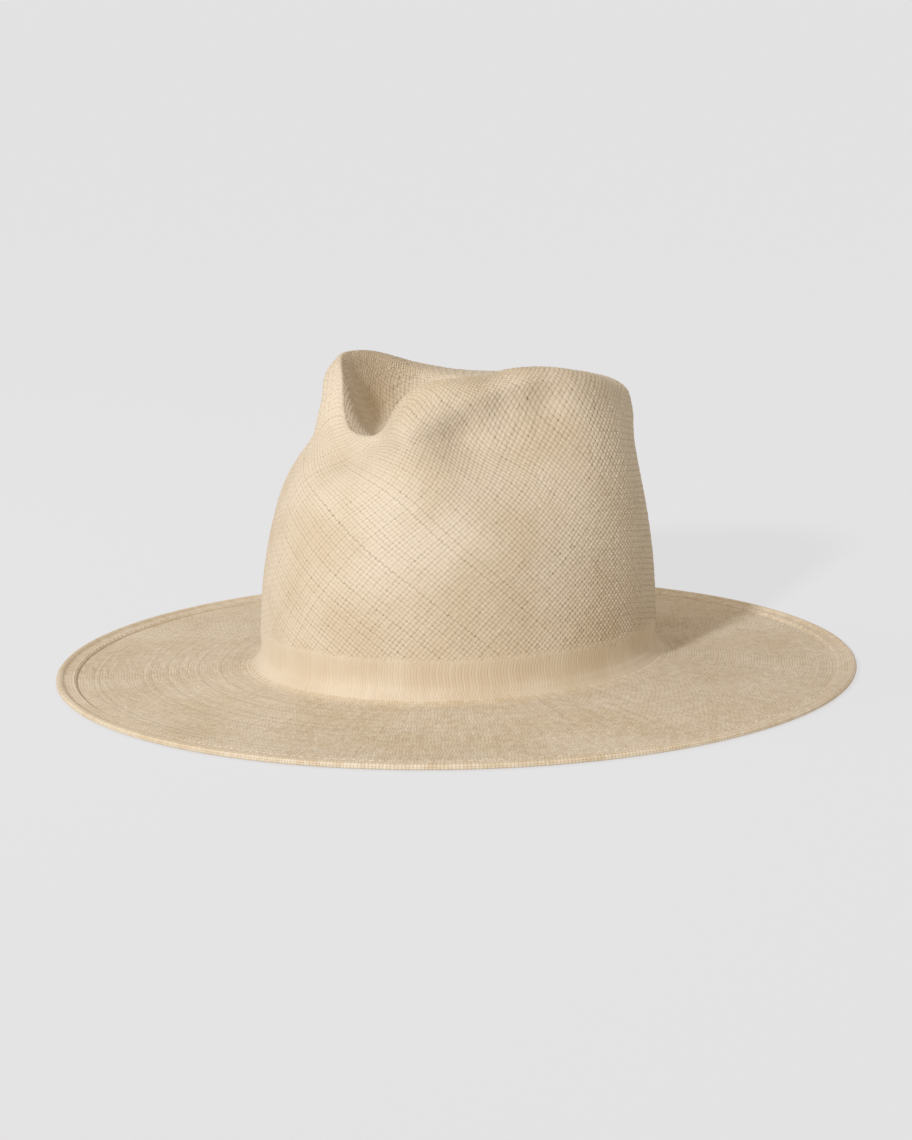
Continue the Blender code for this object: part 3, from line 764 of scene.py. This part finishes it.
def hem_profile():
    """Outsets and heights of the lap's top, the fold round the wire and its underside."""
    edge = BRIM_WIDTH
    start = edge - LAP
    top = STRAW + POCKET + STRAW
    out = [(start - 0.3, STRAW - 0.1), (start - 0.15, STRAW + 0.2), (start + 0.1, LAP_HIGH - 0.4),
           (start + 0.5, LAP_HIGH - 0.12)]
    out += [(start + 1.1 + k * (LAP - 5.0) / 6, LAP_HIGH) for k in range(7)]
    out += [(edge - 3.3, LAP_HIGH + 0.45), (edge - 2.6, top - 0.1), (edge - 1.9, top),
            (edge - 1.2, top - 0.05), (edge - 0.6, top - 0.35), (edge - 0.15, top - 0.8),
            (edge, top / 2 + 0.2), (edge, top / 2 - 0.2), (edge - 0.15, 0.7),
            (edge - 0.55, 0.3), (edge - 1.1, 0.06)]
    return out + [(edge - 1.8 - k * (LAP - 1.0) / 6, 0.0) for k in range(7)]


def hem():
    """The hem's profile swept round the brim."""
    u = np.arange(DENSE) * TURN / DENSE
    profile = np.array(hem_profile())
    return round_mesh([
        (brim_at(u, outset, height), weave_row(s / RING_PITCH, u / TURN * 720, DENSE))
        for (outset, height), s in zip(profile, arc_length(profile))])


add_piece("brim_hem", hem(), brim_mat)


# --- the inside of the crown ---------------------------------------------------------------
def crown_lining():
    columns = 480
    u = np.arange(columns) * TURN / columns
    points, quads, weave = round_mesh([
        (crown.at(u, v) - crown.normal(u, v) * STRAW,
         weave_row(u / TURN * 240 + v * 7.0, u / TURN * 240 - v * 7.0, columns))
        for v in np.linspace(0.0, 14.6, 150)])
    return points, quads[:, ::-1], weave


add_piece("crown_inside", crown_lining(), crown_mat)


# --- the pieces inside the crown and the hem, at the CAD's own places --------------------
WIRE_RADIUS, WIRE_INSET = 0.3, 2.05
SLEEVE_RADIUS, SLEEVE_BORE, SLEEVE_LENGTH = 0.5, 0.4, 12.0
WIRE_END_GAP = 1.0
BAND_FACE, BAND_THICKNESS, BAND_FOOT, BAND_TOP = 1.9, 0.8, 9.4, 43.0
SEAM_GAP = 1.0
SEAM_TAPE_FACE, SEAM_TAPE_THICKNESS, SEAM_TAPE_HALF_WIDTH = 1.2, 0.4, 6.0
SEAM_TAPE_FOOT, SEAM_TAPE_TOP = 16.0, BAND_TOP - 0.6
REED_RADIUS, REED_HEIGHT, REED_END_GAP = 0.45, 8.2, 3.0
REED_TAPE_BORE, REED_TAPE_THICKNESS, REED_TAPE_TOP = 0.65, 0.35, 14.0
THREAD_RADIUS = 0.15
BOW_HEIGHT, BOW_Y, BOW_THICKNESS = 25.0, 94.6, 0.4
BOW_HALF_HEIGHT, BOW_HALF_LENGTH = 3.0, 11.0
LABEL_THICKNESS, LABEL_TUCK = 0.25, 1.15
LABEL_HALF_SPAN = 0.42     # in stations
STATION_LENGTH = HEAD_HALF_WIDTH * math.pi / 180.0 * 20.0


def wall_row(inset, height, stations):
    """Outline of the lower crown at a height, moved inward by inset."""
    lower, upper = (FOOT, BAND_LINE) if height < BAND_LINE[0][2] else (BAND_LINE, LOW_WALL)
    t = max((height - lower[0][2]) / (upper[0][2] - lower[0][2]), 0.0)
    front = -(lower[0][1] * (1 - t) + upper[0][1] * t) - inset
    back = lower[-1][1] * (1 - t) + upper[-1][1] * t - inset
    width = lower[7][0] * (1 - t) + upper[7][0] * t - inset
    return along_outline(whole_outline(oval(front, back, width, height)), stations)


def outward(points, quads):
    """The quads, turned so that the closed mesh faces outward."""
    a, b, c, d = (points[quads[:, k]] for k in range(4))
    volume = np.einsum("ij,ij->i", a, np.cross(b, c)) + np.einsum("ij,ij->i", a, np.cross(c, d))
    return quads if volume.sum() > 0.0 else quads[:, ::-1]


def strip_mesh(face_a, face_b, ring=False):
    """A closed thin strip between two faces, each a list of rows of points."""
    rows = list(face_a) + list(reversed(face_b))
    count, length = len(rows), len(rows[0])
    steps = [np.linalg.norm(q - p, axis=1).mean() for p, q in zip(rows[:-1], rows[1:])]
    points = np.concatenate(rows)
    weave = np.concatenate([weave_row(arc_length(rows[0]), up, length)
                            for up in np.concatenate([[0.0], np.cumsum(steps)])])
    quads = [grid_quads(count, length, ring)]
    k = np.arange(length if ring else length - 1)
    m = (k + 1) % length
    last = (count - 1) * length
    quads.append(np.stack([last + k, last + m, m, k], axis=1))
    if not ring:
        i = np.arange(len(face_a) - 1)
        cap = np.stack([i, i + 1, count - 2 - i, count - 1 - i], axis=1) * length
        quads += [cap, cap[:, ::-1] + length - 1]
    quads = np.concatenate(quads)
    return points, outward(points, quads), weave


def tube_mesh(path, radius, sides, bore=None):
    """A round cord along a path, closed at its ends. With a bore it is a pipe."""
    path = np.array(path, float)
    tangent = unit(np.gradient(path, axis=0))
    side = np.cross(tangent, np.array([0.0, 0.0, 1.0]))
    side[np.linalg.norm(side, axis=1) < 0.05] = (1.0, 0.0, 0.0)
    side = unit(side)
    up = np.cross(side, tangent)
    length = len(path)
    rings = [(radius, k) for k in range(sides)]
    if bore is not None:
        rings += [(bore, -k) for k in range(sides)]
    points, weave = [], []
    for size, k in rings:
        a = 2.0 * math.pi * k / sides
        points.append(path + size * (math.cos(a) * side + math.sin(a) * up))
        weave.append(weave_row(arc_length(path), k / sides, length))
    points, weave = np.concatenate(points), np.concatenate(weave)
    quads = []
    k = np.arange(length - 1)
    for start in range(0, len(rings), sides):
        for n in range(sides):
            p, q = (start + n) * length, (start + (n + 1) % sides) * length
            quads.append(np.stack([p + k, p + k + 1, q + k + 1, q + k], axis=1))
    if bore is not None:
        caps = [(n, (n + 1) % sides, sides + (sides - n - 1) % sides, sides + (sides - n) % sides)
                for n in range(sides)]
    else:
        caps = [(n, n + 1, sides - 2 - n, sides - 1 - n) for n in range(sides // 2 - 1)]
    caps = np.array(caps) * length
    quads = np.concatenate(quads + [caps, caps[:, ::-1] + length - 1])
    return points, outward(points, quads), weave


def joined(parts):
    """Several meshes as one."""
    start, points, quads, weave = 0, [], [], []
    for p, q, w in parts:
        points.append(p)
        quads.append(q + start)
        weave.append(w)
        start += len(p)
    return np.concatenate(points), np.concatenate(quads), np.concatenate(weave)


def cloth_material(name, light, dark, rib, check=0.0, roughness=0.85, shine=0.0):
    """Ribbed or plain woven cloth. rib is the pitch of the ribs, check that of the picks."""
    light, dark = colour(*light), colour(*dark)
    n = Nodes(name)
    a, b = n.weave()
    turn = 2.0 * math.pi
    ribs = n.math("SINE", n.times(a, turn / rib))
    picks = n.math("SINE", n.times(b, turn / (check or rib * 0.35)))
    height = n.times(ribs, picks) if check else n.plus(ribs, n.times(picks, 0.25))
    fuzz = n.noise(n.place(), 2600.0, 3.0, 0.7)
    patch = n.noise(n.place(), 45.0, 4.0)
    yarn = n.white(n.vector(n.math("FLOOR", n.math("DIVIDE", a, rib)), 1.0, 5.0))
    base = n.mix(n.ramp(patch, 0.3, 0.7), light, dark)
    base = n.mix(n.times(yarn, 0.25), base, dark)
    # painted shade: the low parts between the ribs and picks are darkened
    base = n.mix(n.ramp(height, 0.1, -1.0, 0.0, 0.45), base, dark, "MULTIPLY")
    base = n.mix(n.ramp(fuzz, 0.35, 0.7, 0.0, 0.12), base, light)
    relief = n.plus(height, n.times(fuzz, 0.6))
    return n.surface({"Base Color": base, "Specular IOR Level": 0.25 + shine,
                      "Roughness": n.ramp(patch, 0.2, 0.8, roughness - 0.08, roughness),
                      "Sheen Weight": 0.25, "Sheen Roughness": 0.4,
                      "Normal": n.bump(relief, 0.5, 0.00012)})


def thread_material(name, light, dark):
    """Twisted cotton thread."""
    light, dark = colour(*light), colour(*dark)
    n = Nodes(name)
    a, b = n.weave()
    twist = n.math("SINE", n.times(n.plus(n.times(a, 1.6), b), 2.0 * math.pi))
    fuzz = n.noise(n.place(), 5000.0, 3.0, 0.7)
    # painted shade in the grooves between the twisted plies; the same twist also drives the bump
    base = n.mix(n.ramp(twist, -1.0, 0.4, 0.7, 0.0), light, dark)
    base = n.mix(n.ramp(fuzz, 0.4, 0.7, 0.0, 0.2), base, dark)
    return n.surface({"Base Color": base, "Roughness": n.ramp(fuzz, 0.2, 0.8, 0.7, 0.85),
                      "Sheen Weight": 0.3, "Normal": n.bump(twist, 0.6, 0.00005)})


def hard_material(name, light, dark, roughness, metallic, scale):
    """Drawn metal or extruded plastic: streaks along the piece, and a few scuffs."""
    light, dark = colour(*light), colour(*dark)
    n = Nodes(name)
    a, b = n.weave()
    streak = n.noise(n.vector(n.times(a, 0.05), n.times(b, 30.0)), 1.0, 3.0)
    scuff = n.noise(n.place(), scale, 4.0)
    base = n.mix(n.ramp(streak, 0.3, 0.7), light, dark)
    base = n.mix(n.ramp(scuff, 0.55, 0.75, 0.0, 0.5), base, dark)
    return n.surface({"Base Color": base, "Metallic": metallic,
                      "Roughness": n.ramp(scuff, 0.3, 0.7, roughness, roughness + 0.2),
                      "Normal": n.bump(streak, 0.2, 0.00002)})


band_cloth = cloth_material("sweatband_grosgrain", (208, 190, 160), (176, 154, 122), 0.95)
tape_cloth = cloth_material("cotton_tape", (226, 216, 194), (196, 182, 154), 0.5, check=0.5)
ribbon_cloth = cloth_material("bow_ribbon", (186, 160, 124), (144, 118, 84), 0.7,
                              roughness=0.6, shine=0.2)
satin_cloth = cloth_material("label_satin", (240, 236, 226), (216, 208, 194), 0.3, check=0.3,
                             roughness=0.42, shine=0.3)
paper_mat = cloth_material("label_paper", (238, 232, 216), (220, 210, 188), 1.7, check=2.3,
                           roughness=0.9)
thread_mat = thread_material("sewing_thread", (238, 226, 200), (186, 164, 128))
steel_mat = hard_material("wire_steel", (168, 168, 172), (96, 92, 88), 0.28, 1.0, 90.0)
brass_mat = hard_material("sleeve_brass", (196, 164, 96), (128, 98, 52), 0.3, 1.0, 220.0)
reed_mat = hard_material("reed_cord", (232, 229, 218), (206, 200, 184), 0.4, 0.0, 60.0)


def seam_stations(gap, count):
    """Stations of a strip that runs right round and leaves a gap at the back."""
    share = gap / 2 / STATION_LENGTH
    return TURN / 2 + np.linspace(share, TURN - share, count)


def round_length(inset, height):
    row = wall_row(inset, height, np.linspace(0.0, TURN, 361))
    return arc_length(row)[-1]


# the sweatband: a ribbed ribbon, its two ends meeting over the seam tape at the back
around = seam_stations(SEAM_GAP, 2401)
rib_phase = np.linspace(0.0, 2.0 * math.pi * 600.0, len(around))
levels = np.concatenate([[BAND_FOOT, BAND_FOOT + 0.25], np.linspace(11.0, BAND_TOP - 1.6, 10),
                         [BAND_TOP - 0.25, BAND_TOP]])


def band_face(inset, height, side):
    """One face of the sweatband, ribbed, with a slightly raised selvedge at its top."""
    rim = min(height - BAND_FOOT, BAND_TOP - height)
    pinch = 0.25 * (1.0 - min(rim / 0.25, 1.0))
    rows = wall_row(inset + side * pinch, height, around)
    rib = 0.05 * np.cos(rib_phase)[:, None] * min(rim, 1.0)
    return rows + unit(rows - np.array([0.0, 0.0, height])) * rib * side


sweatband = add_piece("sweatband_ribbon", strip_mesh(
    [band_face(BAND_FACE, h, 1.0) for h in levels],
    [band_face(BAND_FACE + BAND_THICKNESS, h, -1.0) for h in levels]),
    band_cloth, "sweatband")
band_length = round_length(BAND_FACE + BAND_THICKNESS / 2, 26.0) - SEAM_GAP

# the tape behind the sweatband's seam
half = SEAM_TAPE_HALF_WIDTH / STATION_LENGTH
across = TURN / 2 + np.linspace(-half, half, 61)
levels = np.linspace(SEAM_TAPE_FOOT, SEAM_TAPE_TOP, 90)
seam_tape = add_piece("seam_tape_cloth", strip_mesh(
    [wall_row(SEAM_TAPE_FACE, h, across) for h in levels],
    [wall_row(SEAM_TAPE_FACE + SEAM_TAPE_THICKNESS, h, across) for h in levels]),
    tape_cloth, "seam_tape")

# zigzag stitches across the seam
depth = BAND_FACE + BAND_THICKNESS + 0.12 + THREAD_RADIUS
corner_heights = np.linspace(SEAM_TAPE_FOOT, BAND_TOP - 2.0, 19)
path = []
for k in range(18):
    for t in np.linspace(0.0, 1.0, 6, endpoint=False):
        sideways = (1.6 if k % 2 else -1.6) * (1.0 - 2.0 * t)
        height = corner_heights[k] * (1 - t) + corner_heights[k + 1] * t
        lift = 0.10 * math.sin(math.pi * t)
        path.append(wall_row(depth + lift, height, [TURN / 2 + sideways / STATION_LENGTH])[0])
add_piece("seam_stitches", tube_mesh(path, THREAD_RADIUS, 8), thread_mat, "seam_stitching")

# the reed cord and the tape folded round it
middle = BAND_FACE + BAND_THICKNESS / 2
add_piece("reed_cord", tube_mesh(wall_row(middle, REED_HEIGHT, seam_stations(REED_END_GAP, 721)),
                                 REED_RADIUS, 12), reed_mat, "sweatband_reed")


def fold_profile(radius):
    side = [(-radius, z) for z in np.linspace(REED_TAPE_TOP, REED_HEIGHT, 12, endpoint=False)]
    arc = [(radius * math.cos(a), REED_HEIGHT + radius * math.sin(a))
           for a in np.linspace(math.pi, 2.0 * math.pi, 13)]
    return side + arc + [(-x, z) for x, z in reversed(side)]


ring = np.arange(1440) * TURN / 1440
outer_fold = [wall_row(middle + x, z, ring)
              for x, z in fold_profile(REED_TAPE_BORE + REED_TAPE_THICKNESS)]
inner_fold = [wall_row(middle + x, z, ring) for x, z in fold_profile(REED_TAPE_BORE)]
reed_tape = add_piece("reed_tape_cloth", strip_mesh(outer_fold, inner_fold, ring=True),
                      tape_cloth, "reed_tape")
round_length(middle, 10.0) * MM


def stitch_line(place, count, share, lift, radius):
    """A row of single stitches. place gives the points at stations, raised by a lift."""
    parts = []
    for k in range(count):
        t = np.linspace(-1.0, 1.0, 7)
        stations = (k + 0.5 + t * share / 2) * TURN / count
        parts.append(tube_mesh(place(stations, lift * (1.0 - t ** 4)), radius, 8))
    return joined(parts)


# the line of stitches that holds the sweatband and its tape to the straw
depth = middle + REED_TAPE_BORE + REED_TAPE_THICKNESS + THREAD_RADIUS * 0.4


def band_line(stations, lift):
    height = 11.2
    rows = wall_row(depth, height, stations)
    return rows - unit(rows - np.array([0.0, 0.0, height])) * lift[:, None]


add_piece("sweatband_stitches", stitch_line(band_line, 190, 0.8, 0.2, THREAD_RADIUS),
          thread_mat, "sweatband_stitching")


# the stitches on the lap of the brim
def hem_line(stations, lift):
    return brim_at(stations, BRIM_WIDTH - LAP + 1.2, LAP_HIGH + THREAD_RADIUS * 0.4 + lift)


add_piece("brim_stitches", stitch_line(hem_line, 264, 0.52, 0.12, THREAD_RADIUS * 1.3),
          thread_mat, "brim_stitching")

# the wire in the hem, and the sleeve that joins its ends at the back
wire_height = STRAW + POCKET / 2
wire_row = brim_at(TURN / 2 + np.linspace(0.0, TURN, DENSE + 1), BRIM_WIDTH - WIRE_INSET,
                   wire_height)
back_step = 20
left, right = wire_row[0], wire_row[back_step]
joint = (left + right) / 2
direction = (right - left) / np.linalg.norm(right - left)
straight = [joint + direction * x for x in (WIRE_END_GAP / 2, SLEEVE_LENGTH * 0.3,
                                            SLEEVE_LENGTH * 0.55)]
other_end = [joint - direction * x for x in (SLEEVE_LENGTH * 0.55, SLEEVE_LENGTH * 0.3,
                                             WIRE_END_GAP / 2)]
path = straight + list(wire_row[back_step:]) + other_end
add_piece("hem_wire", tube_mesh(path, WIRE_RADIUS, 10), steel_mat, "brim_wire")
path = [joint + direction * x for x in np.linspace(-SLEEVE_LENGTH / 2, SLEEVE_LENGTH / 2, 25)]
add_piece("hem_wire_sleeve", tube_mesh(path, SLEEVE_RADIUS, 24, bore=SLEEVE_BORE), brass_mat,
          "wire_sleeve")


# the bow at the back of the sweatband: a flat loop, a knot round its middle and two tails
def bow_loop():
    angle = 2.0 * math.pi * np.arange(160) / 160
    x = BOW_HALF_LENGTH * np.cos(angle)
    y = (0.55 + 1.15 * (x / BOW_HALF_LENGTH) ** 2) * np.sin(angle)
    inner_x = x * (1.0 - BOW_THICKNESS / BOW_HALF_LENGTH)
    inner_y = y - np.copysign(np.minimum(np.abs(y) * 0.5, BOW_THICKNESS), y)
    faces = ([], [])
    for z in np.linspace(-BOW_HALF_HEIGHT, BOW_HALF_HEIGHT, 15):
        selvedge = 0.06 * smooth_ramp(abs(z), 2.4, 2.8)
        for face, fx, fy, grow in ((faces[0], x, y, 1.0), (faces[1], inner_x, inner_y, -0.4)):
            spread = 1.0 + grow * selvedge / 4.0
            face.append(np.stack([fx, BOW_Y + fy * spread, np.full(160, BOW_HEIGHT + z)], axis=1))
    return strip_mesh(faces[0], faces[1], ring=True)


add_piece("bow_loop_ribbon", bow_loop(), ribbon_cloth, "bow_loop")


def bow_knot():
    """The short wrap round the middle of the bow, softly rounded."""
    band, hole_y, hole_z, half_x = 0.5, 1.0, BOW_HALF_HEIGHT + 0.35, 2.0
    angle = 2.0 * math.pi * np.arange(96) / 96
    faces = ([], [])
    for x in np.linspace(-half_x, half_x, 17):
        swell = 0.10 * (1.0 - (x / half_x) ** 2)
        for face, grow, soft in ((faces[0], band, 0.30), (faces[1], 0.0, 0.22)):
            c, s = np.cos(angle), np.sin(angle)
            y = np.sign(c) * np.abs(c) ** soft * (hole_y + grow + (swell if grow else 0.0))
            z = np.sign(s) * np.abs(s) ** soft * (hole_z + grow)
            face.append(np.stack([np.full(96, x), BOW_Y + y, BOW_HEIGHT + z], axis=1))
    return strip_mesh(faces[0], faces[1], ring=True)


add_piece("bow_knot_ribbon", bow_knot(), ribbon_cloth, "bow_knot")


def bow_tails():
    """Two ribbon ends that spread below the knot and are cut at a slant."""
    top = BOW_HEIGHT - BOW_HALF_HEIGHT - 0.35 - 0.5 - 0.3
    parts = []
    for side in (-1.0, 1.0):
        front, rear = [], []
        for t in np.linspace(0.0, 1.0, 24):
            inner_edge = np.array([side * (0.15 + 4.4 * t), top - 2.0 * t - 9.2 * t])
            outer_edge = np.array([side * (2.0 + 5.3 * t), top - 9.3 * t])
            line = [inner_edge * (1 - w) + outer_edge * w for w in np.linspace(0.0, 1.0, 14)]
            wave = 0.10 * math.sin(t * 5.0 + side)
            row = np.array([(x, BOW_Y - 0.2 + wave * t, z) for x, z in line])
            front.append(row)
            rear.append(row + np.array([0.0, BOW_THICKNESS, 0.0]))
        parts.append(strip_mesh(front, rear))
    return joined(parts)


add_piece("bow_tail_ribbons", bow_tails(), ribbon_cloth, "bow_tails")


# the two blank labels
def label_levels(corners, step=0.7):
    """Points along a polyline of (inset, height), close together."""
    out = [corners[0]]
    for a, b in zip(corners[:-1], corners[1:]):
        count = max(1, int(math.hypot(b[0] - a[0], b[1] - a[1]) / step))
        out += [(a[0] + (b[0] - a[0]) * k / count, a[1] + (b[1] - a[1]) * k / count)
                for k in range(1, count + 1)]
    return out


def label_mesh(middle_station, corners):
    across = middle_station + np.linspace(-LABEL_HALF_SPAN, LABEL_HALF_SPAN, 49)
    line = np.array(label_levels(corners))
    along = unit(np.gradient(line, axis=0))
    normal = np.stack([along[:, 1], -along[:, 0]], axis=1)
    face = [wall_row(i, h, across) for i, h in line]
    back = [wall_row(i, h, across) for i, h in line + normal * LABEL_THICKNESS]
    return strip_mesh(face, back)


add_piece("size_label_paper", label_mesh(9.6, ((LABEL_TUCK, 33.0), (LABEL_TUCK, 40.0),
                                               (LABEL_TUCK + 0.7, 47.5))),
          paper_mat, "size_label")
hang = BAND_FACE + BAND_THICKNESS + 0.4
over = BAND_TOP + 0.5
care_corners = ((LABEL_TUCK + 0.25, 34.0), (LABEL_TUCK + 0.25, over - 0.1),
                (LABEL_TUCK + 0.45, over + 0.05), (hang - 0.2, over + 0.05), (hang, over - 0.1),
                (hang, 24.0))
care_label = add_piece("care_label_satin", label_mesh(15.0, care_corners), satin_cloth,
                       "care_label")


# --- stage ----------------------------------------------------------------------------------
def put(name, data, place, back):
    """Stand a light or camera at a place, looking against the direction back."""
    obj = bpy.data.objects.new(name, data)
    obj.location = place
    obj.rotation_mode = "QUATERNION"
    obj.rotation_quaternion = (-back).to_track_quat("-Z", "Y")
    bpy.context.scene.collection.objects.link(obj)
    return obj


def toward(azimuth, elevation):
    """Direction from the hat at an azimuth from the front and an elevation, in degrees."""
    a, e = math.radians(azimuth), math.radians(elevation)
    return Vector((math.sin(a) * math.cos(e), -math.cos(a) * math.cos(e), math.sin(e)))


def stage():
    mesh = bpy.data.meshes.new("floor")
    size = 40.0
    mesh.from_pydata([(-size, -size, 0.0), (size, -size, 0.0), (size, size, 0.0),
                      (-size, size, 0.0)], [], [(0, 1, 2, 3)])
    floor = bpy.data.objects.new("floor", mesh)
    bpy.context.scene.collection.objects.link(floor)
    mesh.materials.append(Nodes("floor_pale").surface({
        "Base Color": (0.18, 0.18, 0.18, 1.0), "Roughness": 0.9, "Specular IOR Level": 0.0,
        "Emission Color": (1.008, 1.01, 1.024, 1.0), "Emission Strength": 0.605}))
    floor.location.z = -0.0006

    world = bpy.data.worlds.new("studio")
    world.use_nodes = True
    background = world.node_tree.nodes["Background"]
    background.inputs["Color"].default_value = (1.0, 0.90, 0.79, 1.0)
    background.inputs["Strength"].default_value = 0.50
    bpy.context.scene.world = world


def lamp(name, kind, place, power, tone, **shape):
    """A soft light that faces the hat. A sun is a far light: its angle is its softness."""
    light = bpy.data.lights.new(name, kind)
    light.energy = power
    light.color = tone
    for key, value in shape.items():
        setattr(light, key, value)
    put(name, light, place, place)


def camera():
    data = bpy.data.cameras.new("camera")
    data.lens = 106.17
    data.clip_start = 0.05
    data.clip_end = 200.0
    azimuth, elevation, distance = 50.0, 12.05, 1.6
    back = toward(azimuth, elevation)
    right = toward(azimuth + 90.0, 0.0)
    target = right * -0.001947 + Vector((0.0, 0.0, 0.04712))
    bpy.context.scene.camera = put("camera", data, target + back * distance, back)


stage()
bpy.context.scene.view_settings.view_transform = "Standard"
lamp("key", "SUN", toward(23.5, 23.0), 2.20, (0.96, 1.0, 1.12), angle=math.radians(5.0))
lamp("top", "SUN", toward(60.0, 80.0), 0.38, (0.99, 1.0, 1.02), angle=math.radians(60.0))
lamp("left_panel", "AREA", Vector((-0.64, -0.77, 0.60)), 2.0, (0.97, 1.0, 1.06), size=0.60)
camera()
